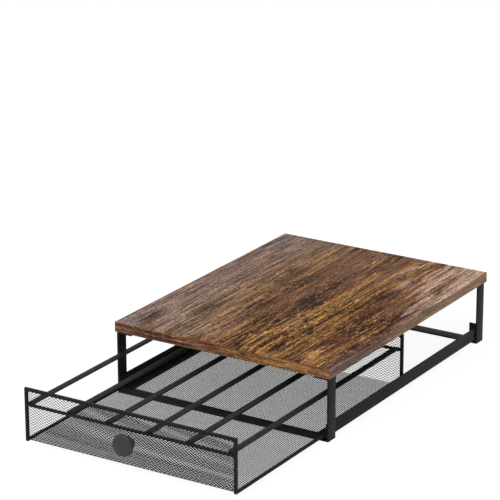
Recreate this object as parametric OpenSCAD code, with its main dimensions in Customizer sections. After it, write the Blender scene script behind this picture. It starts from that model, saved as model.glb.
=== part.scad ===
// Coffee pod drawer: a wood-topped steel stand with a wire-mesh drawer that
// slides on two angle runners. Millimetres, +Z up, +X to the right, and the
// drawer opens towards -Y. The origin is the centre of the front cross
// strap's underside, on the table, and the drawer stands part open.

/* [Top board] */
// Width of the board
board_w = 288; // [240:1:400]
// Depth of the board, front to back
board_d = 380; // [330:1:460]
// Thickness of the board
board_t = 12.4; // [11:0.2:20]

/* [Stand frame] */
// Width of the flat steel strap in the legs and cross straps
strap_w = 16; // [12:0.5:24]
// Thickness of the strap
strap_t = 2; // [1.5:0.1:3]
// How far the board stands out past the legs at each side
side_inset = 2; // [0:0.5:8]
// How far the front legs stand back from the board's front edge
front_inset = 1.2; // [0:0.2:8]
// How far the rear legs stand in from the board's rear edge
rear_inset = 3; // [0:0.2:8]
// Length of the bent tab on top of each leg, measured from the leg
leg_tab = 18; // [14:1:26]

/* [Board screws] */
// Shank diameter of the board screws
screw_d = 3.4; // [2.8:0.1:4.2]
// Length of the screw shank under the head
screw_len = 12; // [9:0.5:12.5]
// Diameter of the screw head
screw_head_d = 7; // [6:0.1:8]
// Height of the screw head
screw_head_h = 1.9; // [1.4:0.1:2.2]

/* [Runners] */
// Height of the runner's underside above the table
runner_z = 4.8; // [3.2:0.1:8]
// Width of the runner's ledge
ledge_w = 16; // [10:0.2:20]
// Height of the runner, over its web
web_h = 16.4; // [10:0.2:20]
// Wall of the angle section
angle_t = 1.4; // [1:0.1:2]
// Gap between the runner's web and the rear leg
web_gap = 3; // [1:0.5:10]
// Width of the rear stop plate
stop_w = 8.5; // [6:0.1:12]
// Thickness of the rear stop plate
stop_t = 2; // [1.5:0.1:3]
// Height of the rear stop plate above the runner's ledge
stop_h = 20.1; // [10:0.1:30]
// How far the stop plate's face stands in front of the rear leg
stop_lead = 0.8; // [0.4:0.1:1.4]

/* [Drawer frame] */
// How far the closed drawer stands out past the board's front edge
closed_reach = 4.3; // [0:0.1:10]
// How far the drawer stands open at rest
drawer_open = 178.6; // [60:0.2:220]
// Width of a corner post, seen from the front
post_w = 3.6; // [3:0.1:6]
// Depth of the posts and cross bars
bar_d = 3.3; // [3:0.1:5]
// Height of the front and rear top bars
top_bar_h = 3.8; // [3:0.1:6]
// Height of the front and rear middle bars
mid_bar_h = 3; // [2.4:0.1:5]
// Height of the middle bars' top face above the drawer's underside
mid_bar_top = 45; // [40:0.1:60]
// Height of the drawer's top above the middle bars
rim_h = 18.5; // [14:0.1:40]
// Side of the square bottom bars
side_bar = 3; // [2.5:0.1:4]

/* [Pod strips] */
// Width of a pod strip
strip_bar_w = 8.5; // [6:0.1:9.5]
// Thickness of a pod strip
strip_bar_t = 1.5; // [1:0.1:2]

/* [Mesh panels] */
// Thickness of the mesh sheet
mesh_t = 0.6; // [0.5:0.1:1]
// Outer radius of the fold between the floor and the lower panels
fold_r = 3; // [1.5:0.1:4]
// Height of the mesh floor above the drawer's underside
mesh_lift = 0.6; // [0.2:0.1:1]
// Width of a diamond cell in the upright panels
panel_cell_w = 10.66; // [8:0.02:16]
// Height of a diamond cell in the upright panels
panel_cell_h = 6.32; // [5:0.02:7]
// Width of the strands in the upright panels
panel_strand = 1.2; // [0.8:0.1:1.6]
// Plain border round the holes of an upright panel
panel_border = 1; // [0.6:0.1:1.6]

/* [Mesh floor] */
// Width of a diamond cell in the floor
floor_cell_w = 42.6; // [30:0.2:60]
// Depth of a diamond cell in the floor
floor_cell_h = 25.3; // [18:0.1:36]
// Width of the strands in the floor
floor_strand = 4; // [3:0.5:6]
// Plain border round the holes of the floor
floor_border = 3; // [2:0.5:6]

/* [Knob] */
// Diameter of the knob's cap
knob_d = 26; // [20:0.5:32]
// Length of the knob in front of the mesh
knob_len = 14.4; // [12:0.2:18]
// Thickness of the knob's cap
cap_t = 6.4; // [5:0.1:8]
// Radius of the cap's front edge
cap_edge_r = 2.6; // [1:0.1:3]
// Height of the cap's domed face
cap_dome = 0.5; // [0.2:0.1:1]
// Height of the knob's axis above the drawer's underside
knob_z = 28.8; // [22:0.1:31]
// Diameter of the knob's foot on the mesh
knob_foot_d = 15; // [12:0.5:20]
// Diameter of the knob's neck
knob_neck_d = 12.4; // [9:0.2:14]
// Diameter of the knob screw
knob_screw_d = 3.2; // [2.6:0.1:4]
// Diameter of the knob screw's head
knob_screw_head_d = 7.4; // [6:0.1:9]
// Height of the knob screw's head
knob_screw_head_h = 2.2; // [1.6:0.1:3]
// Depth of the screw hole in the knob
knob_hole = 11; // [8:0.5:12]
// Diameter of the washer behind the mesh
washer_d = 15; // [10:0.5:20]
// Thickness of the washer
washer_t = 1; // [0.8:0.1:1.6]

/* [Clearances] */
// Gap at each side between the drawer and the runner's web
side_clear = 0.6; // [0.3:0.1:1.5]
// Gap between the drawer's underside and the runner's ledge
ride_clear = 0.3; // [0.2:0.1:1]
// Gap between the drawer's top and the heads of the board screws
head_clear = 1.7; // [0.5:0.1:4]
// Gap round a screw's shank in its clearance hole, on the radius
screw_clear = 0.3; // [0.1:0.05:0.5]
// Gap between a screw's shank and its pilot hole, on the radius
pilot_clear = 0.05; // [0.02:0.01:0.1]
// Depth left past the tip of a screw in its pilot hole
tip_clear = 0.5; // [0.2:0.1:1]

/* [Hidden] */
$fn = 48;
e = 0.01;

STEEL = "#2b2b2b";
MESH = "#1e1e1e";
WOOD = "#7a5238";
PLASTIC = "#424240";
ZINC = "#9a9a98";
COLUMNS = 5;

// Stand, across: outer and inner faces of the legs and of the runner's web
leg_out = board_w / 2 - side_inset;
leg_in = leg_out - strap_t;
web_in = leg_in - angle_t;
// Stand, front to back: the front strap's middle is at y = 0
leg_front = -strap_w / 2;
board_front = leg_front - front_inset;
board_rear = board_front + board_d;
leg_rear = board_rear - rear_inset;
leg_rear_face = leg_rear - strap_w;
stop_face = leg_rear_face - stop_lead;

// Drawer: half width, inner face of its posts, rear and front faces
half_w = web_in - side_clear;
post_in = half_w - post_w;
rear_y = stop_face - drawer_open;
front_y = board_front - closed_reach - drawer_open;
// Upwards: top of the runner's ledge, then the drawer's underside, top of its
// middle bars, underside of its top bars and its top, then the board's two faces
ledge_z = runner_z + angle_t;
base_z = ledge_z + ride_clear;
mid_z = base_z + mid_bar_top;
top_z = mid_z + rim_h;
rim_z = top_z - top_bar_h;
board_z = top_z + head_clear + screw_head_h + strap_t;
board_top = board_z + board_t;
// Middle planes of the front and rear mesh panels, and underside of the floor
mesh_front = front_y + bar_d / 2;
mesh_rear = rear_y - bar_d / 2;
mesh_z = base_z + mesh_lift;
// Strips across the drawer, the outer two against the posts
strip_pitch = (2 * post_in - strip_bar_w) / COLUMNS;

// Box between two corners
module block(low, high) {
    translate(low) cube(high - low);
}

// Children on the left or the right: side is -1 or 1
module on_side(side) {
    if (side > 0) children();
    else mirror([1, 0, 0]) children();
}

// Pan-head screw along +Z, with the underside of its head at z = 0
module pan_screw(d, len, head_d, head_h) {
    cylinder(d = d, h = len);
    rotate_extrude() polygon([
        [0, -head_h], [head_d * 0.3, -head_h], [head_d * 0.42, -head_h * 0.8],
        [head_d / 2, -head_h * 0.35], [head_d / 2, 0], [0, 0]
    ]);
}

// Screw positions in the leg tabs
screw_x = leg_in - leg_tab / 2;
screw_y = [leg_front + strap_w / 2, leg_rear - strap_w / 2];

module top_board() {
    pilot = screw_len - strap_t + tip_clear;
    color(WOOD) difference() {
        block([-board_w / 2, board_front, board_z], [board_w / 2, board_rear, board_top]);
        for (x = [-screw_x, screw_x], y = screw_y)
            translate([x, y, board_z - e]) cylinder(d = screw_d + 2 * pilot_clear, h = pilot + e);
    }
}

// Flat strap on the table between two legs
module cross_strap(y) {
    color(STEEL) block([-leg_out, y, 0], [leg_out, y + strap_w, strap_t]);
}

// Upright strap with a bent tab on top that is screwed to the board
module leg(side, y) {
    color(STEEL) on_side(side) difference() {
        union() {
            block([leg_in, y, strap_t], [leg_out, y + strap_w, board_z]);
            block([leg_in - leg_tab, y, board_z - strap_t], [leg_in + e, y + strap_w, board_z]);
        }
        translate([screw_x, y + strap_w / 2, board_z - strap_t - 1])
            cylinder(d = screw_d + 2 * screw_clear, h = strap_t + 2);
    }
}

// Angle section inside the legs: a ledge under the drawer and a web beside it
module runner(side) {
    color(STEEL) on_side(side) union() {
        block([leg_in - ledge_w, leg_front, runner_z], [leg_in, leg_rear, ledge_z]);
        block([web_in, leg_front, ledge_z - e], [leg_in, leg_rear_face - web_gap, runner_z + web_h]);
    }
}

// Plate that stands on the ledge and stops the closing drawer
module rear_stop(side) {
    color(STEEL) on_side(side)
        block([leg_in - stop_w, stop_face, ledge_z], [leg_in, stop_face + stop_t, ledge_z + stop_h]);
}

module board_screws() {
    color(ZINC) for (x = [-screw_x, screw_x], y = screw_y)
        translate([x, y, board_z - strap_t])
            pan_screw(screw_d, screw_len, screw_head_d, screw_head_h);
}

// Cross bars of the drawer, with their front face at y
module top_bar(y) {
    color(STEEL) block([-half_w, y, rim_z], [half_w, y + bar_d, top_z]);
}

module mid_bar(y) {
    color(STEEL) block([-post_in, y, mid_z - mid_bar_h], [post_in, y + bar_d, mid_z]);
}

module post(side, y) {
    color(STEEL) on_side(side) block([post_in, y, base_z], [half_w, y + bar_d, rim_z]);
}

module bottom_bar(side) {
    color(STEEL) on_side(side)
        block([half_w - side_bar, front_y + bar_d, base_z],
              [half_w, rear_y - bar_d, base_z + side_bar]);
}

// Flat strip on the middle bars; column 0 is at the left
module pod_strip(column) {
    x = -post_in + column * strip_pitch;
    color(STEEL) block([x, mesh_front + mesh_t / 2, mid_z],
                       [x + strip_bar_w, mesh_rear - mesh_t / 2, mid_z + strip_bar_t]);
}

module diamond(w, h) {
    polygon([[-w / 2, 0], [0, -h / 2], [w / 2, 0], [0, h / 2]]);
}

// Expanded sheet of size [w, h], centred: staggered diamonds inside a plain
// border. No hole reaches into the round land with its middle at land_at.
module diamond_sheet(size, cell, strand, border, land_at = [0, 0], land_r = 0) {
    slope = cell[1] / cell[0];
    hole_h = cell[1] - strand * sqrt(1 + slope * slope);
    hole_w = hole_h / slope;
    across = floor((size[0] - 2 * border - hole_w) / cell[0]);
    up = floor((size[1] - 2 * border - hole_h) / cell[1] * 2) / 2;
    difference() {
        square(size, center = true);
        for (i = [-across:0.5:across], j = [-up:0.5:up])
            let (at = [i * cell[0], j * cell[1]])
                if ((i + j) % 1 == 0 && norm(at - land_at) >= land_r)
                    if (abs(at[0]) + hole_w / 2 + border <= size[0] / 2)
                        if (abs(at[1]) + hole_h / 2 + border <= size[1] / 2)
                            translate(at) diamond(hole_w, hole_h);
    }
}

// Where the floor's flat part starts and ends, past the folds
floor_start = mesh_front - mesh_t / 2 + fold_r;
floor_end = mesh_rear + mesh_t / 2 - fold_r;

module mesh_floor() {
    color(MESH) translate([0, (floor_start + floor_end) / 2, mesh_z]) linear_extrude(mesh_t)
        diamond_sheet([2 * (half_w - side_bar), floor_end - floor_start],
                      [floor_cell_w, floor_cell_h], floor_strand, floor_border);
}

// Quarter round between the floor and a panel; the fold's centre is the origin
module fold_profile() {
    intersection() {
        difference() {
            circle(r = fold_r);
            circle(r = fold_r - mesh_t);
        }
        translate([-fold_r - 1, -fold_r - 1]) square(fold_r + 1);
    }
}

// Upright sheet between the posts from z = low to high, in the plane y = 0
module upright_sheet(low, high, land_z = 0, land_r = 0) {
    translate([0, mesh_t / 2, (low + high) / 2]) rotate([90, 0, 0]) linear_extrude(mesh_t)
        diamond_sheet([2 * post_in, high - low], [panel_cell_w, panel_cell_h],
                      panel_strand, panel_border, [0, land_z - (low + high) / 2], land_r);
}

// Panel under a middle bar, folded inwards to +Y at its foot
module lower_panel(land_z = 0, land_r = 0) {
    low = mesh_z + fold_r;
    upright_sheet(low, mid_z - mid_bar_h, land_z, land_r);
    translate([-post_in, fold_r - mesh_t / 2, low]) rotate([90, 0, 90])
        linear_extrude(2 * post_in) fold_profile();
}

// Frame of the knob: +Z runs forwards out of the mesh's front face
module knob_axis() {
    translate([0, mesh_front - mesh_t / 2, base_z + knob_z]) rotate([90, 0, 0]) children();
}

// The sheet is plain behind the knob's foot and the washer
module mesh_front_lower() {
    land_r = (max(washer_d, knob_foot_d) + panel_cell_w) / 2;
    color(MESH) difference() {
        translate([0, mesh_front, 0]) lower_panel(base_z + knob_z, land_r);
        knob_axis() translate([0, 0, -mesh_t - 1])
            cylinder(d = knob_screw_d + 2 * screw_clear, h = mesh_t + 2);
    }
}

module mesh_rear_lower() {
    color(MESH) translate([0, mesh_rear, 0]) mirror([0, 1, 0]) lower_panel();
}

module mesh_upper(y) {
    color(MESH) translate([0, y, 0]) upright_sheet(mid_z, rim_z);
}

// Half of the knob's outline as [radius, distance from the mesh]
function knob_outline() =
    let (
        foot_r = knob_foot_d / 2, neck_r = knob_neck_d / 2, cap_r = knob_d / 2,
        cap_back = knob_len - cap_t, foot_t = 0.8, back_r = 1.2,
        neck_z = (foot_t + cap_back) * 0.45, face_r = cap_r - cap_edge_r,
        edge_z = knob_len - cap_dome - cap_edge_r
    )
    concat(
        [[0, 0], [foot_r, 0]],
        [for (t = [1:-0.25:0.25]) [neck_r + (foot_r - neck_r) * t * t, neck_z + (foot_t - neck_z) * t]],
        [for (t = [0:0.2:1]) [neck_r + (cap_r * 0.72 - neck_r) * t * t * t,
                              neck_z + (cap_back - neck_z) * t]],
        [for (a = [-90:30:0]) [cap_r - back_r + back_r * cos(a), cap_back + back_r + back_r * sin(a)]],
        [for (a = [0:15:90]) [face_r + cap_edge_r * cos(a), edge_z + cap_edge_r * sin(a)]],
        [for (r = [0.8:-0.2:0]) [face_r * r, knob_len - cap_dome * r * r]]
    );

module knob() {
    color(PLASTIC) knob_axis() difference() {
        rotate_extrude() polygon(knob_outline());
        translate([0, 0, -1]) cylinder(d = knob_screw_d + 2 * pilot_clear, h = knob_hole + 1);
    }
}

module knob_washer() {
    color(ZINC) knob_axis() translate([0, 0, -mesh_t - washer_t]) difference() {
        cylinder(d = washer_d, h = washer_t);
        translate([0, 0, -1]) cylinder(d = knob_screw_d + 2 * screw_clear, h = washer_t + 2);
    }
}

module knob_screw() {
    color(ZINC) knob_axis() translate([0, 0, -mesh_t - washer_t])
        pan_screw(knob_screw_d, washer_t + mesh_t + knob_hole - tip_clear,
                  knob_screw_head_d, knob_screw_head_h);
}

top_board();
cross_strap(leg_front);  // front_cross_strap
cross_strap(leg_rear_face);  // rear_cross_strap
leg(-1, leg_front);  // front_left_leg
leg(1, leg_front);  // front_right_leg
leg(-1, leg_rear_face);  // rear_left_leg
leg(1, leg_rear_face);  // rear_right_leg
runner(-1);  // left_runner
runner(1);  // right_runner
rear_stop(-1);  // left_rear_stop
rear_stop(1);  // right_rear_stop
board_screws();
top_bar(front_y);  // front_top_bar
mid_bar(front_y);  // front_mid_bar
post(-1, front_y);  // front_left_post
post(1, front_y);  // front_right_post
top_bar(rear_y - bar_d);  // rear_top_bar
mid_bar(rear_y - bar_d);  // rear_mid_bar
post(-1, rear_y - bar_d);  // rear_left_post
post(1, rear_y - bar_d);  // rear_right_post
bottom_bar(-1);  // left_bottom_bar
bottom_bar(1);  // right_bottom_bar
pod_strip(0);  // pod_strip_1
pod_strip(1);  // pod_strip_2
pod_strip(2);  // pod_strip_3
pod_strip(3);  // pod_strip_4
pod_strip(4);  // pod_strip_5
pod_strip(5);  // pod_strip_6
mesh_floor();
mesh_front_lower();
mesh_upper(mesh_front);  // mesh_front_upper
mesh_rear_lower();
mesh_upper(mesh_rear);  // mesh_rear_upper
knob();
knob_washer();
knob_screw();
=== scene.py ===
import math

import bpy
from mathutils import Matrix, Vector


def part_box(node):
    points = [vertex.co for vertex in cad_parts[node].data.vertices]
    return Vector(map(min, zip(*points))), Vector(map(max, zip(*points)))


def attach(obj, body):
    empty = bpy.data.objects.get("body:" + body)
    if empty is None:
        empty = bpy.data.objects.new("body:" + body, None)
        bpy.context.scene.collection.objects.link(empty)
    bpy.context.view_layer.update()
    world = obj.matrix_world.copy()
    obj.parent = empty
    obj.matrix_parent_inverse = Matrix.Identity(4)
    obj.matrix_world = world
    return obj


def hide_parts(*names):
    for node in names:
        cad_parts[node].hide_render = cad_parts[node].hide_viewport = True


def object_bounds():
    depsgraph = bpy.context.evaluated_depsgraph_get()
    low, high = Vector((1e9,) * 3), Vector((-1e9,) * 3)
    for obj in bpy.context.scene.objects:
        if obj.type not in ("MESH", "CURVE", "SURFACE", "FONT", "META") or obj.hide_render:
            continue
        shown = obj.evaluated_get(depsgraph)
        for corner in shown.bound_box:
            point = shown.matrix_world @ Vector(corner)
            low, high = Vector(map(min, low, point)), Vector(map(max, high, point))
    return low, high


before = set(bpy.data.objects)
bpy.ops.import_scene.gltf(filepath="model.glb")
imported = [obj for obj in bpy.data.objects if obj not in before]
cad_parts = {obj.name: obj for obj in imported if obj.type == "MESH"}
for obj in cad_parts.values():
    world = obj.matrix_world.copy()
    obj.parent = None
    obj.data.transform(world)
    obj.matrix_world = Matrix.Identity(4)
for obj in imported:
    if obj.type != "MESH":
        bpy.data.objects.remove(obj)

CAD_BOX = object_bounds()
MM = 0.001
STAND, DRAWER = "stand", "drawer"


# ---------------------------------------------------------------- small tools

def hex_colour(code):
    """sRGB hex to linear RGBA."""
    parts = [int(code[i:i + 2], 16) / 255 for i in (1, 3, 5)]
    return [c / 12.92 if c <= 0.04045 else ((c + 0.055) / 1.055) ** 2.4 for c in parts] + [1.0]


def pick(*objects):
    """Select only these objects; the first one is active."""
    bpy.ops.object.select_all(action="DESELECT")
    for o in objects:
        o.select_set(True)
    bpy.context.view_layer.objects.active = objects[0]


def bake_place(obj):
    """Put the object at the origin, unturned and unscaled, with its place in its mesh."""
    pick(obj)
    bpy.ops.object.transform_apply(location=True, rotation=True, scale=True)
    return obj


def fresh(primitive, **settings):
    """A new primitive, added while nothing is selected, with its place in its mesh."""
    bpy.ops.object.select_all(action="DESELECT")
    primitive(**settings)
    return bake_place(bpy.context.object)


def apply_modifier(obj, kind, **settings):
    pick(obj)
    mod = obj.modifiers.new(kind.lower(), kind)
    for key, value in settings.items():
        setattr(mod, key, value)
    bpy.ops.object.modifier_apply(modifier=mod.name)


def choose(obj, kind, test):
    """In edit mode, select the faces, edges or points of obj whose middle, and whose normal or
    direction, pass the test."""
    bpy.ops.mesh.select_mode(type=kind)
    bpy.ops.mesh.select_all(action="DESELECT")
    bpy.ops.object.mode_set(mode="OBJECT")
    mesh = obj.data
    if kind == "FACE":
        for face in mesh.polygons:
            face.select = test(face.center, face.normal)
    elif kind == "EDGE":
        for edge in mesh.edges:
            a, b = (mesh.vertices[i].co for i in edge.vertices)
            edge.select = test((a + b) / 2, (b - a).normalized())
    else:
        for vertex in mesh.vertices:
            vertex.select = test(vertex.co, vertex.normal)
    bpy.ops.object.mode_set(mode="EDIT")


def pull_out(obj, test, way):
    """Extrude the chosen faces by the given way."""
    pick(obj)
    bpy.ops.object.mode_set(mode="EDIT")
    choose(obj, "FACE", test)
    bpy.ops.mesh.extrude_region_move(TRANSFORM_OT_translate={"value": way})
    bpy.ops.object.mode_set(mode="OBJECT")


def cut(obj, at, normal, **how):
    """Bisect all of obj with a plane."""
    pick(obj)
    bpy.ops.object.mode_set(mode="EDIT")
    bpy.ops.mesh.select_all(action="SELECT")
    bpy.ops.mesh.bisect(plane_co=at, plane_no=normal, threshold=1e-7, **how)
    bpy.ops.object.mode_set(mode="OBJECT")


def carve(obj, tool):
    """Take the tool's shape out of obj, and throw the tool away."""
    apply_modifier(obj, "BOOLEAN", operation="DIFFERENCE", object=tool, solver="EXACT")
    bpy.data.objects.remove(tool)


def face_outwards(obj):
    pick(obj)
    bpy.ops.object.mode_set(mode="EDIT")
    bpy.ops.mesh.select_all(action="SELECT")
    bpy.ops.mesh.normals_make_consistent(inside=False)
    bpy.ops.object.mode_set(mode="OBJECT")


def join(objects, name):
    pick(*objects)
    bpy.ops.object.join()
    objects[0].name = name
    return objects[0]


def shade(obj, angle=35):
    pick(obj)
    bpy.ops.object.shade_smooth_by_angle(angle=math.radians(angle))


def install(obj, material, body, node):
    """Give a finished piece its material and its body, and hide the CAD node it stands for."""
    if material is not None:
        obj.data.materials.clear()
        obj.data.materials.append(material)
    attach(obj, body)
    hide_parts(node)


# ------------------------------------------------------------------ materials

TIMES = {"operation": "MULTIPLY"}
PLUS = {"operation": "ADD"}
MINUS = {"operation": "SUBTRACT"}
SCALED = {"operation": "SCALE"}
LENGTH = {"operation": "LENGTH"}
LARGER = {"operation": "MAXIMUM"}
SMOOTH = {"interpolation_type": "SMOOTHSTEP"}
POINT = {"vector_type": "POINT"}
# How two colours meet. The share is at i0, the colours at i6 and i7, and the result is output 2
INK = {"data_type": "RGBA"}
TINT = {"data_type": "RGBA", "blend_type": "MULTIPLY"}


def feed(tree, socket, value):
    """Link another node's output to a socket, or set the socket to a value."""
    if isinstance(value, bpy.types.NodeSocket):
        tree.links.new(value, socket)
    else:
        socket.default_value = value


def add(tree, kind, settings=None, out=0, stops=(), **inputs):
    """Add a node and give back one of its outputs. An input is a value or another node's output,
    under its name, or as i0, i1 and so on by its place. The stops of a colour ramp are pairs of a
    place and a hex colour or a grey level."""
    node = tree.nodes.new("ShaderNode" + kind)
    for key, value in (settings or {}).items():
        setattr(node, key, value)
    for key, value in inputs.items():
        place = int(key[1:]) if key[0] == "i" and key[1:].isdigit() else key.replace("_", " ")
        feed(tree, node.inputs[place], value)
    for i, (at, colour) in enumerate(stops):
        elements = node.color_ramp.elements
        element = elements[i] if i < 2 else elements.new(1.0)
        element.position = at
        element.color = hex_colour(colour) if isinstance(colour, str) else [colour] * 3 + [1.0]
    return node.outputs[out] if len(node.outputs) else node


def new_material(name):
    """An empty material with its Principled shader: (material, tree, shader)."""
    material = bpy.data.materials.new(name)
    material.use_nodes = True
    tree = material.node_tree
    tree.nodes.clear()
    shader = add(tree, "BsdfPrincipled").node
    add(tree, "OutputMaterial", Surface=shader.outputs["BSDF"])
    return material, tree, shader


def finish_with(tree, shader, **sockets):
    """Link or set the shader's sockets by name."""
    for key, value in sockets.items():
        feed(tree, shader.inputs[key.replace("_", " ")], value)


def object_mm(tree, size=(1, 1, 1), turn=(0, 0, 0)):
    """Object coordinates in units of a pattern's real size, in millimetres along each axis."""
    place = add(tree, "TexCoord", out="Object")
    turned = add(tree, "Mapping", POINT, Vector=place, Rotation=turn)
    return add(tree, "Mapping", POINT, Vector=turned, Scale=[1 / (MM * s) for s in size])


def unevenness(tree, size, detail, ragged=0.5):
    """Patches of the given size in millimetres, about 0.5 all over, that break a finish up."""
    return add(tree, "TexNoise", Vector=object_mm(tree, (size, size, size)), Scale=1.0,
               Detail=detail, Roughness=ragged)


def powder_coat(name, colour, lift, roughness):
    """Polyester powder coat on mild steel, sprayed and baked: a closed, near-black skin with a
    fine orange peel of about 0.6 mm and a broad, weak sheen, over clouds of 28 mm. Polyester has
    an IOR of 1.5, and its specular level is low because the peel spreads the gloss."""
    material, tree, shader = new_material(name)
    peel = unevenness(tree, size=0.6, detail=3.0, ragged=0.6)
    cloud = unevenness(tree, size=28, detail=2.0)
    tone = add(tree, "ValToRGB", Fac=cloud, stops=[(0.3, colour), (0.72, lift)])
    speck = add(tree, "ValToRGB", Fac=peel, stops=[(0.35, 0.86), (0.65, 1.08)])
    finish_with(
        tree, shader,
        Base_Color=add(tree, "Mix", TINT, out=2, i0=1.0, i6=tone, i7=speck),
        Roughness=add(tree, "ValToRGB", Fac=peel,
                      stops=[(0.3, roughness - 0.06), (0.7, roughness + 0.06)]),
        Normal=add(tree, "Bump", Height=peel, Strength=0.25, Distance=0.05 * MM),
        Specular_IOR_Level=0.1)
    return material


def zinc_plate():
    """Zinc-plated steel, bright dipped: slightly blue-grey metal whose soft gloss clouds over in
    patches of 1.5 mm."""
    material, tree, shader = new_material("zinc_plated_steel")
    cloud = unevenness(tree, size=1.5, detail=3.0)
    finish_with(
        tree, shader,
        Base_Color=add(tree, "ValToRGB", Fac=cloud, stops=[(0.3, "#9b9d9c"), (0.7, "#b9bab6")]),
        Roughness=add(tree, "ValToRGB", Fac=cloud, stops=[(0.3, 0.28), (0.7, 0.42)]),
        Metallic=1.0)
    return material


def moulded_abs():
    """ABS moulded in a finely eroded tool: dark grey and satin, with a weak grain of about 0.3 mm
    that softens the highlight. The grain is drawn at 0.4 mm so that it shows. ABS has an IOR of
    1.54, and the grain takes more than half of its gloss away."""
    material, tree, shader = new_material("moulded_grey_abs")
    grain = unevenness(tree, size=0.4, detail=2.0, ragged=0.6)
    finish_with(
        tree, shader,
        Base_Color=add(tree, "ValToRGB", Fac=grain, stops=[(0.3, "#2e2e2e"), (0.7, "#363636")]),
        Roughness=add(tree, "ValToRGB", Fac=grain, stops=[(0.3, 0.19), (0.7, 0.25)]),
        Normal=add(tree, "Bump", Height=grain, Strength=0.08, Distance=0.04 * MM),
        Specular_IOR_Level=0.22)
    return material


BOARD_HALF = 144.0      # half the board's width, in millimetres

# Bands of the printed wood from left to right: place across the board in millimetres, colour,
# and how bold the inks on it are
BANDS = [(-144, "#897771", 0.34), (-100, "#8a7166", 0.42), (-66, "#876c56", 0.52),
         (-46, "#926e4f", 0.85), (-20, "#795545", 0.85), (16, "#865c44", 0.95),
         (44, "#9f7447", 1.0), (62, "#a8763f", 1.0), (72, "#6a3a2a", 1.0), (84, "#7d4e34", 1.0),
         (92, "#673223", 1.0), (103, "#84573a", 1.0), (112, "#66352a", 1.0),
         (122, "#7c5643", 0.9), (132, "#68473e", 0.8), (144, "#86685b", 0.5)]
EDGE_BANDS = [(-144, "#705244", 0.5), (0, "#745242", 0.55), (144, "#6c4e40", 0.55)]
SIDE_BANDS = [(-144, "#7d6961", 0.2), (144, "#806b63", 0.2)]

# Stains over the bands, and two pale patches at the right rear that are painted sheen: middle in x
# and y, half width and half length in millimetres, colour, strength, and how far they leave the
# inks out
STAINS_AND_SHEEN = [(62, 12, 75, 80, "#c4904d", 0.6, 0.0), (60, 160, 15, 130, "#bd8440", 0.5, 0.0),
          (112, 14, 40, 46, "#c29259", 0.5, 0.0), (102, 158, 46, 112, "#552e1e", 0.64, 0.0),
          # The two pale patches on this line, at the right rear, are painted sheen, a reflection
          # of light, not stains
          (126, 350, 66, 130, "#ceab96", 0.95, 0.75), (136, 240, 20, 70, "#c4a38d", 0.8, 0.5),
          (-128, 24, 28, 32, "#727071", 0.6, 0.3), (-70, 30, 60, 46, "#ac9380", 0.5, 0.2),
          (-100, 110, 60, 120, "#937b72", 0.4, 0.2)]

# The same on the edge bands. The front one is turned, so its x is how far it is to the front, and
# its y is how far along it
EDGE_STAINS = [(9, 92, 40, 86, "#9a6d45", 0.75, 0.2), (9, -96, 40, 70, "#57423a", 0.6, 0.0),
               (9, -6, 40, 26, "#7a4d36", 0.5, 0.0)]
SIDE_STAINS = [(144, 260, 60, 170, "#a3866d", 0.8, 0.0)]

# Knots: middle in x and y, and width, in millimetres. A knot is longer than wide along the grain
KNOTS = [(80, 232, 13), (99, 184, 11), (60, 18, 11), (103, 62, 11), (67, 78, 9), (-60, 250, 13),
         (-118, 28, 17), (66, 300, 10)]
KNOT_SLIMNESS = 0.45

# Patterns that are drawn out along the grain: width and length in millimetres, seed, detail and
# raggedness
DRIFT = (60, 260, 40, 2.0, 0.55)
CALM = (45, 190, 51, 2.0, 0.55)
FRAY = (12, 60, 61, 3.0, 0.6)
HAIRLINES = (1.8, 60, 21, 2.0, 0.5)
PORES = (1.5, 5, 71, 2.0, 0.5)
DASHES = (2.0, 20, 29, 3.0, 0.6)
CRACKS = (2.2, 6, 33, 3.0, 0.7)

# Inks that are printed in such patterns, from the first down to the last: the pattern, where the
# ink starts and is full, how much it covers, and its colour
INKS = [((30, 170, 7, 3.0, 0.55), 0.50, 0.64, 0.45, "#84645a"),
        ((10, 170, 3, 4.0, 0.58), 0.50, 0.57, 0.85, "#b07d43"),
        ((7, 140, 13, 4.0, 0.58), 0.50, 0.56, 0.90, "#3a1912"),
        ((14, 160, 17, 4.0, 0.58), 0.54, 0.60, 0.78, "#381a16"),
        ((3.4, 80, 37, 5.0, 0.68), 0.52, 0.60, 0.75, "#26120d"),
        ((2.6, 75, 23, 4.0, 0.65), 0.55, 0.62, 0.50, "#c0935f"),
        ((2.6, 9, 81, 3.0, 0.60), 0.55, 0.61, 0.80, "#27120c"),
        ((2.4, 8, 91, 3.0, 0.60), 0.57, 0.63, 0.55, "#d3a76e")]
DASH_INK, CRACK_INK = "#1c100c", "#1e1614"

# How dark and light the hairlines and the pores make the print, at the stops of a ramp
HAIRLINE_SHADES = [(0.40, 0.48), (0.5, 0.94), (0.60, 1.44)]
PORE_SHADES = [(0.36, 0.60), (0.5, 1.0), (0.64, 1.42)]

SWAY = (6, 20, 6)           # how far the grain wanders off its line, in millimetres
SWAY_SIZE = (60, 240, 60)   # and over what distance
WANDER = 50.0               # how far a whole band drifts sideways


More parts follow.
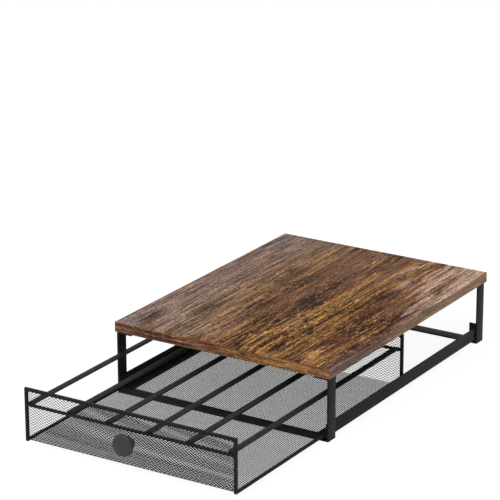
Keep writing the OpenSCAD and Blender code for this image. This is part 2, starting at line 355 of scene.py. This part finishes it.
def wood_laminate(name, bands, depth=1.0, turn=(0, 0, 0), stains_and_sheen=(), knots=()):
    """Rustic wood print under a satin melamine skin, pressed on particle board. The grain runs
    along Y: bands 10 to 45 mm wide, inks in ragged streaks 2.5 to 30 mm wide, hairlines of
    1.8 x 60 mm, pores of 1.5 x 5 mm, dark dashes of 2 x 20 mm, and knots with dark cracks. The
    depth is how strongly the hairlines and pores show. Melamine has an IOR of 1.5, and the
    brushed relief of the skin takes most of its gloss away."""
    material, tree, shader = new_material(name)

    flow = add(tree, "TexNoise", out="Color", Vector=object_mm(tree, SWAY_SIZE, turn), Scale=1.0,
               Detail=1.0)
    sway = add(tree, "VectorMath", MINUS, i0=flow, i1=(0.5, 0.5, 0.5))
    sway = add(tree, "VectorMath", TIMES, i0=sway, i1=SWAY)
    place = add(tree, "VectorMath", PLUS, i0=object_mm(tree, turn=turn), i1=sway)

    def away_from(x, y, half_x, half_y):
        """Way from a spot to here, and how many of the spot's half sizes that is."""
        offset = add(tree, "VectorMath", MINUS, i0=place, i1=(x, y, 0))
        sizes = add(tree, "VectorMath", TIMES, i0=offset, i1=(1 / half_x, 1 / half_y, 0))
        return offset, add(tree, "VectorMath", LENGTH, out="Value", i0=sizes)

    # The grain parts round each knot
    knot_core = None
    for x, y, width in knots:
        offset, reach = away_from(x, y, width, width / KNOT_SLIMNESS)
        squeeze = add(tree, "MapRange", SMOOTH, Value=reach, From_Min=0.3, From_Max=2.0,
                      To_Min=-0.4, To_Max=0.0)
        pull = add(tree, "VectorMath", SCALED, i0=offset, Scale=squeeze)
        pull = add(tree, "VectorMath", TIMES, i0=pull, i1=(1, 0, 0))
        place = add(tree, "VectorMath", PLUS, i0=place, i1=pull)
        core = add(tree, "MapRange", SMOOTH, Value=reach, From_Min=0.1, To_Min=1.0, To_Max=0.0)
        knot_core = core if knot_core is None else add(tree, "Math", LARGER, i0=knot_core, i1=core)

    def streaks(width, length, seed, detail, ragged):
        """A pattern drawn out along the grain, about 0.5 all over."""
        sizes = (1 / width, 1 / length, 1 / width)
        stretched = add(tree, "VectorMath", TIMES, i0=place, i1=sizes)
        seeded = add(tree, "VectorMath", PLUS, i0=stretched, i1=(seed, seed, seed))
        return add(tree, "TexNoise", Vector=seeded, Scale=1.0, Detail=detail, Roughness=ragged)

    # Bands, which drift to and fro, and how bold the inks are on them
    drift = add(tree, "MapRange", Value=streaks(*DRIFT), To_Min=-WANDER, To_Max=WANDER)
    straight = add(tree, "SeparateXYZ", out="X", Vector=place)
    across = add(tree, "Math", PLUS, i0=straight, i1=drift)
    across = add(tree, "MapRange", Value=across, From_Min=-BOARD_HALF, From_Max=BOARD_HALF)
    places = [(band[0] + BOARD_HALF) / (2 * BOARD_HALF) for band in bands]
    colour, bold = (add(tree, "ValToRGB", Fac=across,
                        stops=[(at, band[column]) for at, band in zip(places, bands)])
                    for column in (1, 2))
    calm = add(tree, "MapRange", SMOOTH, Value=streaks(*CALM), From_Min=0.40, From_Max=0.60,
               To_Min=0.5, To_Max=1.15)
    bold = add(tree, "Math", TIMES, i0=bold, i1=calm)

    # Stains, and patches of painted sheen, with frayed edges
    fray = add(tree, "MapRange", SMOOTH, Value=streaks(*FRAY), From_Min=0.3, From_Max=0.7,
               To_Min=-0.5, To_Max=0.5)
    for x, y, half_x, half_y, tint, strength, bare in stains_and_sheen:
        offset, reach = away_from(x, y, half_x, half_y)
        edge = add(tree, "Math", PLUS, i0=reach, i1=fray)
        cover = add(tree, "MapRange", SMOOTH, Value=edge, From_Min=0.3, From_Max=1.1,
                    To_Min=strength, To_Max=0.0)
        colour = add(tree, "Mix", INK, out=2, i0=cover, i6=colour, i7=hex_colour(tint))
        if bare:
            kept = add(tree, "MapRange", SMOOTH, Value=edge, From_Min=0.3, From_Max=1.1,
                       To_Min=1 - bare)
            bold = add(tree, "Math", TIMES, i0=bold, i1=kept)

    for pattern, start, full, amount, tint in INKS:
        cover = add(tree, "MapRange", SMOOTH, Value=streaks(*pattern), From_Min=start,
                    From_Max=full, To_Max=amount)
        cover = add(tree, "Math", TIMES, i0=cover, i1=bold)
        colour = add(tree, "Mix", INK, out=2, i0=cover, i6=colour, i7=hex_colour(tint))

    hairlines = streaks(*HAIRLINES)
    for pattern, stops in ((hairlines, HAIRLINE_SHADES), (streaks(*PORES), PORE_SHADES)):
        shades = add(tree, "ValToRGB", Fac=pattern, stops=stops)
        colour = add(tree, "Mix", TINT, out=2, i0=depth, i6=colour, i7=shades)

    dashes = add(tree, "MapRange", SMOOTH, Value=streaks(*DASHES), From_Min=0.56, From_Max=0.62,
                 To_Min=0.2)
    dashes = add(tree, "Math", TIMES, i0=dashes, i1=bold)
    dashes = add(tree, "MapRange", SMOOTH, Value=dashes, From_Min=0.2, From_Max=0.8)
    colour = add(tree, "Mix", INK, out=2, i0=dashes, i6=colour, i7=hex_colour(DASH_INK))
    if knot_core is not None:
        cracks = add(tree, "MapRange", SMOOTH, Value=streaks(*CRACKS), From_Min=0.44,
                     From_Max=0.56, To_Min=0.4)
        cracks = add(tree, "Math", TIMES, i0=cracks, i1=knot_core)
        colour = add(tree, "Mix", INK, out=2, i0=cracks, i6=colour, i7=hex_colour(CRACK_INK))

    finish_with(
        tree, shader,
        Base_Color=colour,
        Roughness=add(tree, "MapRange", SMOOTH, Value=hairlines, From_Min=0.4, From_Max=0.6,
                      To_Min=0.68, To_Max=0.56),
        Normal=add(tree, "Bump", Height=hairlines, Strength=0.25, Distance=0.06 * MM),
        Specular_IOR_Level=0.045)
    return material


def backing_foil():
    """Resin-filled paper glued under the board against warping: plain dull brown, clouded along
    the sheet in patches of 3 x 9 mm."""
    material, tree, shader = new_material("brown_backing_foil")
    cloud = add(tree, "TexNoise", Vector=object_mm(tree, (3, 9, 3)), Scale=1.0, Detail=4.0)
    finish_with(
        tree, shader,
        Base_Color=add(tree, "ValToRGB", Fac=cloud, stops=[(0.3, "#4a372c"), (0.7, "#57432f")]),
        Roughness=0.7)
    return material


COAT = powder_coat("black_powder_coat", "#181818", "#1e1e1e", roughness=0.55)
WIRE = powder_coat("black_coated_expanded_mesh", "#131313", "#191919", roughness=0.5)
ZINC = zinc_plate()
ABS = moulded_abs()
LAMINATE = wood_laminate("rustic_wood_laminate", BANDS, stains_and_sheen=STAINS_AND_SHEEN, knots=KNOTS)
EDGE_ALONG_X = wood_laminate("laminate_edge_band_front", EDGE_BANDS, depth=0.8,
                             turn=(0, 0, math.pi / 2), stains_and_sheen=EDGE_STAINS)
EDGE_ALONG_Y = wood_laminate("laminate_edge_band_side", SIDE_BANDS, depth=0.6,
                             stains_and_sheen=SIDE_STAINS)
FOIL = backing_foil()


# -------------------------------------------------------- straps, rods, plates

ALONG = 0.9                 # least share of a direction that counts as along an axis
SHARP = math.radians(40)    # edges that turn further than this are rounded
HOLE_SIDES = 32
OVERRUN = 1                 # millimetres outside the surface where a blind hole's drill starts

# In millimetres
LEG_BEND_R = (2.8, 0.8)     # outside and inside of the bend
ANGLE_BEND_R = (1.0, 0.9)
TAB_HOLE_R = 2.0
ANGLE_WALL = 1.4
WEB_TO_REAR_LEG = 3         # gap between the end of a runner's web and the leg

STRAP_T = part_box("front_cross_strap")[1].z    # thickness of the straps, in metres


def block(name, low, high):
    """A cuboid between two corners, in metres."""
    low, high = Vector(low), Vector(high)
    obj = fresh(bpy.ops.mesh.primitive_cube_add, size=1, location=(low + high) / 2,
                scale=high - low)
    obj.name = name
    return obj


def round_edges(obj, radius_mm):
    apply_modifier(obj, "BEVEL", width=radius_mm * MM, segments=3, limit_method="ANGLE",
                   angle_limit=SHARP)


def roll_edges(obj, radius_mm):
    """The small edge radius of rolled strap and rod."""
    round_edges(obj, radius_mm)
    shade(obj)
    return obj


def near(value, target, reach_mm=0.02):
    return abs(value - target) < reach_mm * MM


def bend_radius(obj, x, z, radius_mm):
    """Round the edge along Y at this x and z, as a press brake leaves it."""
    pick(obj)
    bpy.ops.object.mode_set(mode="EDIT")
    choose(obj, "EDGE", lambda c, d: abs(d.y) > ALONG and near(c.x, x) and near(c.z, z))
    bpy.ops.mesh.bevel(offset=radius_mm * MM, segments=5, affect="EDGES")
    bpy.ops.object.mode_set(mode="OBJECT")


def drill(obj, bottom, depth, radius_mm):
    """Bore a round hole upwards along Z from a place."""
    bit = fresh(bpy.ops.mesh.primitive_cylinder_add, vertices=HOLE_SIDES, radius=radius_mm * MM,
                depth=depth, location=Vector(bottom) + Vector((0, 0, depth / 2)))
    carve(obj, bit)


def twin(obj, name, move=(0, 0, 0), flip=None):
    """A copy with its own mesh, mirrored across one axis if asked, then moved."""
    pick(obj)
    bpy.ops.object.duplicate()
    copy = bpy.context.object
    copy.name = name
    if flip:
        setattr(copy.scale, flip, -1)
        bake_place(copy)
        face_outwards(copy)
    copy.location = move
    return bake_place(copy)


def middle(node):
    low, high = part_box(node)
    return (low + high) / 2


def lay_out(master, pieces, body):
    """Put a copy of a steel piece at each node. The first pair is the master's own place, and a
    node on the other side of the stand gets a mirrored copy."""
    home = middle(pieces[0][1])
    made = [master]
    master.name = pieces[0][0]
    for name, node in pieces[1:]:
        there = middle(node)
        flip = "x" if there.x * home.x < 0 else None
        start = Vector((-home.x if flip else home.x, home.y, home.z))
        made.append(twin(master, name, there - start, flip))
    for obj, (name, node) in zip(made, pieces):
        install(obj, COAT, body, node)


def rolled(pieces, body, edge_mm):
    """Straight strap, rod or plate in the box of its node, once for each node."""
    name, node = pieces[0]
    lay_out(roll_edges(block(name, *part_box(node)), edge_mm), pieces, body)


def bent_leg():
    """Upright strap whose top is bent inwards into a tab with a screw hole."""
    low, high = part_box("front_right_leg")
    outer, tip = high.x, low.x
    inner = outer - STRAP_T
    tab_z = high.z - STRAP_T
    leg = block("bent_leg", (inner, low.y, low.z), (outer, high.y, high.z))
    cut(leg, (0, 0, tab_z), (0, 0, 1))
    pull_out(leg, lambda c, n: n.x < -ALONG and c.z > tab_z, (tip - inner, 0, 0))
    bend_radius(leg, outer, high.z, LEG_BEND_R[0])
    bend_radius(leg, inner, tab_z, LEG_BEND_R[1])
    under_tab = ((inner + tip) / 2, (low.y + high.y) / 2, high.z - 2 * STRAP_T)
    drill(leg, under_tab, 4 * STRAP_T, TAB_HOLE_R)
    return roll_edges(leg, radius_mm=0.35)


def angle_rail():
    """Rolled angle: a ledge, and a web that stops short of the rear leg."""
    low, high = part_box("right_runner")
    wall = ANGLE_WALL * MM
    web_in = high.x - wall
    web_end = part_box("rear_right_leg")[0].y - WEB_TO_REAR_LEG * MM
    rail = block("angle_rail", (low.x, low.y, low.z), (high.x, high.y, low.z + wall))
    cut(rail, (web_in, 0, 0), (1, 0, 0))
    cut(rail, (0, web_end, 0), (0, 1, 0))
    pull_out(rail, lambda c, n: n.z > ALONG and c.x > web_in and c.y < web_end,
             (0, 0, high.z - low.z - wall))
    bend_radius(rail, high.x, low.z, ANGLE_BEND_R[0])
    bend_radius(rail, web_in, low.z + wall, ANGLE_BEND_R[1])
    return roll_edges(rail, radius_mm=0.25)


# Pairs of a piece's name and its node, one for each end, side or corner

def ends(piece, node):
    return [(piece.format(end), node.format(end)) for end in ("front", "rear")]


def sides(piece, node):
    return [(piece.format(side), node.format(side)) for side in ("right", "left")]


def corners(piece, node):
    return [(piece.format(end, side), node.format(end, side))
            for end in ("front", "rear") for side in ("right", "left")]


lay_out(bent_leg(), corners("bent_leg_{}_{}", "{}_{}_leg"), STAND)
lay_out(angle_rail(), sides("angle_rail_{}", "{}_runner"), STAND)
rolled(ends("floor_strap_{}", "{}_cross_strap"), STAND, edge_mm=0.35)
rolled(sides("stop_plate_{}", "{}_rear_stop"), STAND, edge_mm=0.3)
rolled(ends("rim_bar_{}", "{}_top_bar"), DRAWER, edge_mm=0.5)
rolled(ends("shelf_bar_{}", "{}_mid_bar"), DRAWER, edge_mm=0.4)
rolled(corners("corner_post_{}_{}", "{}_{}_post"), DRAWER, edge_mm=0.45)
rolled(sides("side_rod_{}", "{}_bottom_bar"), DRAWER, edge_mm=0.4)
rolled([(f"pod_rail_{i}", f"pod_strip_{i}") for i in range(1, 7)], DRAWER, edge_mm=0.3)


# ----------------------------------------------------------------- wire mesh

CELL_W, CELL_H = 5.33 * MM, 3.16 * MM      # diagonals of one diamond, across and along the sheet
STRAND_W = 0.42 * MM                       # width of a strand
STRAND_T = {1: 0.46 * MM, -1: 0.40 * MM}   # thickness of each family, unlike so that no faces meet
SPARE_LENGTH = 1.1                         # a strand starts this many times too long
LEAN = math.atan(CELL_H / CELL_W)
SPACING = CELL_H * math.cos(LEAN)          # from strand to strand, square to them
FOLD_CREASES = 6
CREASE_REACH = 0.1 * MM                    # points this near a crease are on it

floor_low, floor_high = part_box("mesh_floor")
sheet_half = (floor_high.z - floor_low.z) / 2
floor_z = floor_low.z + sheet_half
mesh_mid_y = (floor_low.y + floor_high.y) / 2
fold_start = (floor_high.y - floor_low.y) / 2     # from the middle
front_face_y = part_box("mesh_front_lower")[0].y
bend_r = floor_low.y - front_face_y - sheet_half  # to the middle of the sheet
fold_turn = math.pi / 2 / FOLD_CREASES            # at each crease
crease_gap = 2 * bend_r * math.tan(fold_turn / 2)
bend_arc = FOLD_CREASES * crease_gap


def strand_family(lean, width, start, end):
    """Parallel strands of a flat sheet from y = start to end, which lean one way. They cross the
    sheet's middle line at whole cells from y = 0, so that neighbouring sheets carry on."""
    centre = round((start + end) / 2 / CELL_H) * CELL_H
    reach = math.hypot(width, end - start + CELL_H)
    count = 2 * math.ceil(reach / SPACING / 2) + 1
    family = fresh(bpy.ops.mesh.primitive_cube_add, size=1,
                   scale=(reach * SPARE_LENGTH, STRAND_W, STRAND_T[lean]))
    apply_modifier(family, "ARRAY", count=count, use_relative_offset=False,
                   use_constant_offset=True, constant_offset_displace=(0, SPACING, 0))
    family.location.y = -(count - 1) / 2 * SPACING
    bake_place(family)
    family.rotation_euler.z = lean * LEAN
    family.location.y = centre
    bake_place(family)
    for at, normal in (((width / 2, 0, 0), (1, 0, 0)), ((-width / 2, 0, 0), (-1, 0, 0)),
                       ((0, end, 0), (0, 1, 0)), ((0, start, 0), (0, -1, 0))):
        cut(family, at, normal, use_fill=True, clear_outer=True)
    return family


def flat_sheet(name, width, start, end):
    return join([strand_family(lean, width, start, end) for lean in (1, -1)], name)


def front_sheet(name, node):
    """A sheet at the drawer's front: it lies flat in line with the floor's, is cut across at the
    creases of the fold, and is turned up crease by crease from the far end. At each crease its
    own points go half the turn, as a mitre. A sheet that starts above the fold carries its cells
    on."""
    low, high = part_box(node)
    upright = floor_z + bend_r
    first = bend_arc + low.z - upright if low.z > upright else 0
    last = bend_arc + high.z - upright
    sheet = flat_sheet(name, high.x - low.x, -fold_start - last, -fold_start - first)
    sheet.location.z = floor_z
    bake_place(sheet)
    creases = [-fold_start - crease_gap * (step + 0.5) for step in range(FOLD_CREASES)]
    for crease in creases:
        cut(sheet, (0, crease, 0), (0, 1, 0))
    pick(sheet)
    bpy.ops.object.mode_set(mode="EDIT")
    for crease in reversed(creases):
        for margin in (CREASE_REACH, -CREASE_REACH):
            choose(sheet, "VERT", lambda c, n: c.y < crease + margin)
            bpy.ops.transform.rotate(value=fold_turn / 2, orient_axis="X",
                                     center_override=(0, crease, floor_z))
    bpy.ops.object.mode_set(mode="OBJECT")
    return sheet


def mesh_panels():
    """The floor's sheet, and a lower and an upper sheet at the front, each with its mirror image
    at the rear. All are made about y = 0 and then moved to the drawer."""
    sheet = flat_sheet("wire_mesh_floor", floor_high.x - floor_low.x, -fold_start, fold_start)
    sheet.location.z = floor_z
    panels = [(bake_place(sheet), "mesh_floor")]
    for part in ("lower", "upper"):
        front = front_sheet(f"wire_mesh_front_{part}", f"mesh_front_{part}")
        rear = twin(front, f"wire_mesh_rear_{part}", flip="y")
        panels += [(front, f"mesh_front_{part}"), (rear, f"mesh_rear_{part}")]
    for panel, node in panels:
        panel.location.y = mesh_mid_y
        install(bake_place(panel), WIRE, DRAWER, node)


mesh_panels()


# -------------------------------------------------------------------- board

PILOT_R, PILOT_DEPTH = 1.75, 10.5     # screw holes in the board's underside, in millimetres
BOARD_EDGE_R = 0.7
SKIN = 1.0                            # faces further in than this are inside a screw hole
STEEP = 0.72                          # least share of a normal that makes a face part of an edge
# How far the screw at each leg's tab has turned, in degrees
TAB_SCREW_TURNS = {("front", "right"): 10, ("front", "left"): 75,
                   ("rear", "right"): 40, ("rear", "left"): 115}


def tab_middle(end, side):
    """Middle of the upper face of a leg's tab, where its screw goes through."""
    low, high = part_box(f"{end}_{side}_leg")
    inwards = -1 if side == "right" else 1
    return Vector(((low.x + high.x + inwards * STRAP_T) / 2, (low.y + high.y) / 2, high.z))


def laminated_board():
    """Particle board with a wood-look skin, edge bands on four sides and foil below."""
    low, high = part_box("top_board")
    board = block("laminated_board", low, high)
    round_edges(board, BOARD_EDGE_R)
    for end, side in TAB_SCREW_TURNS:
        start = tab_middle(end, side) - Vector((0, 0, OVERRUN * MM))
        drill(board, start, (PILOT_DEPTH + OVERRUN) * MM, PILOT_R)
    skins = (LAMINATE, EDGE_ALONG_X, FOIL, EDGE_ALONG_Y)
    board.data.materials.clear()
    for material in skins:
        board.data.materials.append(material)
    for face in board.data.polygons:
        at, normal = face.center, face.normal
        inside = low.z + SKIN * MM < at.z < high.z - SKIN * MM
        on_side = near(at.x, low.x, SKIN) or near(at.x, high.x, SKIN)
        on_end = near(at.y, low.y, SKIN) or near(at.y, high.y, SKIN)
        skin = LAMINATE
        if normal.z < -ALONG or inside and not on_side and not on_end:
            skin = FOIL
        elif abs(normal.y) > STEEP:
            skin = EDGE_ALONG_X
        elif abs(normal.x) > STEEP:
            skin = EDGE_ALONG_Y
        face.material_index = skins.index(skin)
    shade(board)
    install(board, None, STAND, "top_board")


laminated_board()


# ---------------------------------------------------------- knob and fasteners

# Lengths are in millimetres
KNOB_BORE_R, KNOB_BORE_DEPTH = 1.65, 11
WASHER_HOLE_R = 1.9
KNOB_SCREW_TURN = 0.4      # radians
CROWN_START = 0.5          # radius of a screw head's flat top, as a share of the head's
HEAD_SIDE = 0.35           # share of its height below the crown
CROWN_STEPS = 8
HEAD_RIM = 0.1             # chamfer round its underside
POINT_R = 0.15             # at the very tip of the screw
THREAD_PITCH = 1.2
THREAD_START = 0.8         # from under the head
UNTHREADED = 3             # how much of the shank has no thread
POINT_LENGTH = 1.8
POINT_START = 0.7          # the point's first radius, as a share of the shank's
# One turn of thread: how far up it is, and the share of the shank's radius there
THREAD = ((0, 0.8), (0.45, 1), (0.6, 1), (1.0, 0.8))
# The cross recess: length and width as shares of the head's radius, and depth of its height
RECESS = (1.1, 0.22, 1.3)


def turned(name, rings, vertices=32):
    """A round piece along Z: a disc of the first ring's size, from which each further ring is
    extruded and resized. Rings are (radius, height) in millimetres."""
    (radius, height), *rest = rings
    piece = fresh(bpy.ops.mesh.primitive_circle_add, vertices=vertices, radius=radius * MM,
                  fill_type="NGON", location=(0, 0, height * MM))
    piece.name = name
    bpy.ops.object.mode_set(mode="EDIT")
    bpy.ops.mesh.select_all(action="SELECT")
    for ring_r, ring_h in rest:
        rise = (0, 0, (ring_h - height) * MM)
        bpy.ops.mesh.extrude_region_move(TRANSFORM_OT_translate={"value": rise})
        bpy.ops.transform.resize(value=(ring_r / radius, ring_r / radius, 1),
                                 center_override=(0, 0, ring_h * MM))
        radius, height = ring_r, ring_h
    bpy.ops.object.mode_set(mode="OBJECT")
    face_outwards(piece)
    return piece


def arc(centre, radius, start, end, steps):
    """Rings on an arc, from one angle to the other in degrees."""
    angles = [math.radians(start + (end - start) * i / steps) for i in range(steps + 1)]
    return [(centre[0] + radius * math.cos(a), centre[1] + radius * math.sin(a)) for a in angles]


def point_forwards(obj, y, z):
    """Lay a piece that stands along Z so that it points to -Y from the given place."""
    obj.rotation_euler.x = math.pi / 2
    obj.location = (0, y, z)
    bake_place(obj)


knob_low, knob_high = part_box("knob")
knob_z = (knob_low.z + knob_high.z) / 2
knob_len = (knob_high.y - knob_low.y) / MM
cap_r = (knob_high.z - knob_low.z) / 2 / MM


def mushroom_knob():
    """Foot with a round collar, a waist, and a cap with a round edge and a faintly domed face."""
    foot_r, foot_edge_r = 7.5, 0.3
    collar_r, collar_at, collar_edge_r = 8.7, 3.6, 1.5
    waist_r, waist_at, flare_r = 6.8, 7.2, 9.4
    cap_back, back_edge_r = 9.7, 0.9
    face_edge_r, dome = 2.3, 0.7
    face_r = cap_r - face_edge_r
    rings = arc((foot_r - foot_edge_r, foot_edge_r), foot_edge_r, -90, 0, 3)
    rings += arc((collar_r - collar_edge_r, collar_at), collar_edge_r, -80, 80, 10)
    rings += [(waist_r + (flare_r - waist_r) * t ** 2, waist_at + (cap_back - waist_at) * t)
              for t in (-0.35, 0, 0.35, 0.6, 0.8, 1)]
    rings += arc((cap_r - back_edge_r, cap_back + back_edge_r), back_edge_r, -90, 0, 5)
    rings += arc((face_r, knob_len - dome - face_edge_r), face_edge_r, 0, 90, 9)
    rings += [(face_r * t, knob_len - dome * t * t) for t in (0.85, 0.7, 0.5, 0.3, 0.15, 0.04)]
    knob = turned("mushroom_knob", rings, vertices=72)
    drill(knob, (0, 0, -OVERRUN * MM), (KNOB_BORE_DEPTH + OVERRUN) * MM, KNOB_BORE_R)
    point_forwards(knob, knob_high.y, knob_z)
    shade(knob, angle=60)
    install(knob, ABS, DRAWER, "knob")


def pan_head_screw(name, shank_r, length, head_r, head_h):
    """A pan-head screw along +Z from under its head, with a cross recess, sizes in mm."""
    quarter = [math.pi / 2 * i / CROWN_STEPS for i in range(CROWN_STEPS + 1)]
    rings = [(head_r * (CROWN_START + (1 - CROWN_START) * math.sin(a)),
              -head_h * (HEAD_SIDE + (1 - HEAD_SIDE) * math.cos(a))) for a in quarter]
    rings += [(head_r, -HEAD_RIM), (head_r - HEAD_RIM, 0), (shank_r, 0)]
    for i in range(int((length - UNTHREADED) / THREAD_PITCH)):
        z = THREAD_START + i * THREAD_PITCH
        rings += [(shank_r * share, z + rise) for rise, share in THREAD]
    rings += [(shank_r * POINT_START, length - POINT_LENGTH), (POINT_R, length)]
    screw = turned(name, rings)
    long, wide, deep = (size * share * MM for size, share in zip((head_r, head_r, head_h), RECESS))
    for turn in (0, math.pi / 2):
        carve(screw, fresh(bpy.ops.mesh.primitive_cube_add, size=1, scale=(long, wide, deep),
                           location=(0, 0, -head_h * MM), rotation=(0, 0, turn)))
    shade(screw, angle=40)
    return screw


def board_screws():
    """Four screws that hold the leg tabs to the board, seen from below."""
    screw = pan_head_screw("tab_screw", shank_r=1.7, length=12, head_r=3.5, head_h=1.9)
    screws = []
    for (end, side), turn in TAB_SCREW_TURNS.items():
        copy = twin(screw, "tab_screw")
        copy.rotation_euler.z = math.radians(turn)
        copy.location = tab_middle(end, side) - Vector((0, 0, STRAP_T))
        screws.append(bake_place(copy))
    bpy.data.objects.remove(screw)
    install(join(screws, "tab_screws"), ZINC, STAND, "board_screws")


def knob_fasteners():
    """A flat washer and a screw behind the mesh, which hold the knob."""
    washer_low, washer_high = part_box("knob_washer")
    thick = (washer_high.y - washer_low.y) / MM
    radius = (washer_high.z - washer_low.z) / 2 / MM
    rolled_edge, burred_edge = 0.25, 0.1
    rings = [(radius - rolled_edge, 0), (radius, rolled_edge),
             (radius, thick - burred_edge), (radius - burred_edge, thick)]
    washer = turned("flat_washer", rings, vertices=48)
    drill(washer, (0, 0, -thick * MM), 3 * thick * MM, WASHER_HOLE_R)
    point_forwards(washer, washer_high.y, knob_z)
    shade(washer, angle=40)
    install(washer, ZINC, DRAWER, "knob_washer")
    low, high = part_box("knob_screw")
    screw = pan_head_screw("knob_fixing_screw", shank_r=1.6, length=(washer_high.y - low.y) / MM,
                           head_r=(high.z - low.z) / 2 / MM, head_h=(high.y - washer_high.y) / MM)
    screw.rotation_euler.z = KNOB_SCREW_TURN
    bake_place(screw)
    point_forwards(screw, washer_high.y, knob_z)
    install(screw, ZINC, DRAWER, "knob_screw")


mushroom_knob()
board_screws()
knob_fasteners()


# ------------------------------------------------------- floor, light, camera

WHITE = hex_colour("#ffffff")
WORLD_LIGHT = 0.55          # strength of the world on the object
FLOOR_SIZE = 40             # metres, well past what any view takes in
FLOOR_GLOW = 1.08           # what the eye sees of the floor, and how much of it is that
FLOOR_GLOW_SHARE = 0.85


def white_for_the_eye(tree):
    """1 where the camera or a reflection looks, 0 for the light that falls on the object."""
    eye, gloss, glass = (add(tree, "LightPath", out=f"Is {kind} Ray")
                         for kind in ("Camera", "Glossy", "Transmission"))
    seen = add(tree, "Math", LARGER, i0=eye, i1=gloss)
    return add(tree, "Math", LARGER, i0=seen, i1=glass)


def studio_floor():
    """White paper sweep. Most of what the camera sees of it is plain white, so its shadow is
    soft."""
    floor = fresh(bpy.ops.mesh.primitive_plane_add, size=FLOOR_SIZE, location=(0, 0, 0))
    floor.name = "studio_floor"
    material, tree, shader = new_material("white_paper_sweep")
    finish_with(tree, shader, Base_Color=hex_colour("#f4f4f4"), Roughness=1.0,
                Specular_IOR_Level=0.0)
    glow = add(tree, "Emission", Color=WHITE, Strength=FLOOR_GLOW)
    share = add(tree, "Math", TIMES, i0=white_for_the_eye(tree), i1=FLOOR_GLOW_SHARE)
    blend = add(tree, "MixShader", i0=share, i1=shader.outputs["BSDF"], i2=glow)
    output = next(n for n in tree.nodes if n.type == "OUTPUT_MATERIAL")
    tree.links.new(blend, output.inputs["Surface"])
    floor.data.materials.append(material)


def white_world():
    """Even white all round, weaker on the object than for the eye."""
    world = bpy.data.worlds.new("white_studio")
    bpy.context.scene.world = world
    world.use_nodes = True
    tree = world.node_tree
    tree.nodes.clear()
    strength = add(tree, "MapRange", Value=white_for_the_eye(tree), To_Min=WORLD_LIGHT, To_Max=1.0)
    background = add(tree, "Background", Color=WHITE, Strength=strength)
    add(tree, "OutputWorld", Surface=background)


def direction(azimuth, elevation):
    """Unit vector from the object towards a place round it; both angles in radians."""
    return Vector((math.sin(azimuth) * math.cos(elevation),
                   -math.cos(azimuth) * math.cos(elevation), math.sin(elevation)))


def softbox(name, azimuth, elevation, distance, size, watts):
    """A square area light that looks at the middle of the object."""
    way = direction(math.radians(azimuth), math.radians(elevation))
    light = bpy.data.lights.new(name, "AREA")
    light.shape = "SQUARE"
    light.size = size
    light.energy = watts
    lamp = bpy.data.objects.new(name, light)
    lamp.location = (CAD_BOX[0] + CAD_BOX[1]) / 2 + way * distance
    lamp.rotation_euler = way.to_track_quat("Z", "Y").to_euler()
    bpy.context.scene.collection.objects.link(lamp)


def camera(azimuth, elevation, roll, distance, target, lens):
    """A long lens that looks down on the target, from the front and towards the right."""
    a, e, t = (math.radians(v) for v in (azimuth, elevation, roll))
    back = direction(a, e)
    right = Vector((math.cos(a), math.sin(a), 0))
    up = back.cross(right)
    right, up = (right * math.cos(t) + up * math.sin(t),
                 up * math.cos(t) - right * math.sin(t))
    data = bpy.data.cameras.new("camera")
    data.sensor_width = 36
    data.lens = lens
    data.clip_start, data.clip_end = 0.1, 100
    cam = bpy.data.objects.new("camera", data)
    cam.matrix_world = Matrix.LocRotScale(target + back * distance,
                                          Matrix((right, up, back)).transposed(), None)
    bpy.context.scene.collection.objects.link(cam)
    bpy.context.scene.camera = cam


studio_floor()
white_world()
softbox("key_softbox", azimuth=5, elevation=52, distance=2.6, size=1.4, watts=22)
softbox("front_softbox", azimuth=-30, elevation=30, distance=2.8, size=1.8, watts=12)
softbox("small_lamp", azimuth=24, elevation=34, distance=2.4, size=0.12, watts=5)
camera(azimuth=32.067, elevation=18.762, roll=-0.173, distance=3.0084,
       target=Vector((-0.0780, 0.1808, 0.1321)), lens=180.87)
bpy.context.scene.view_settings.view_transform = "Standard"
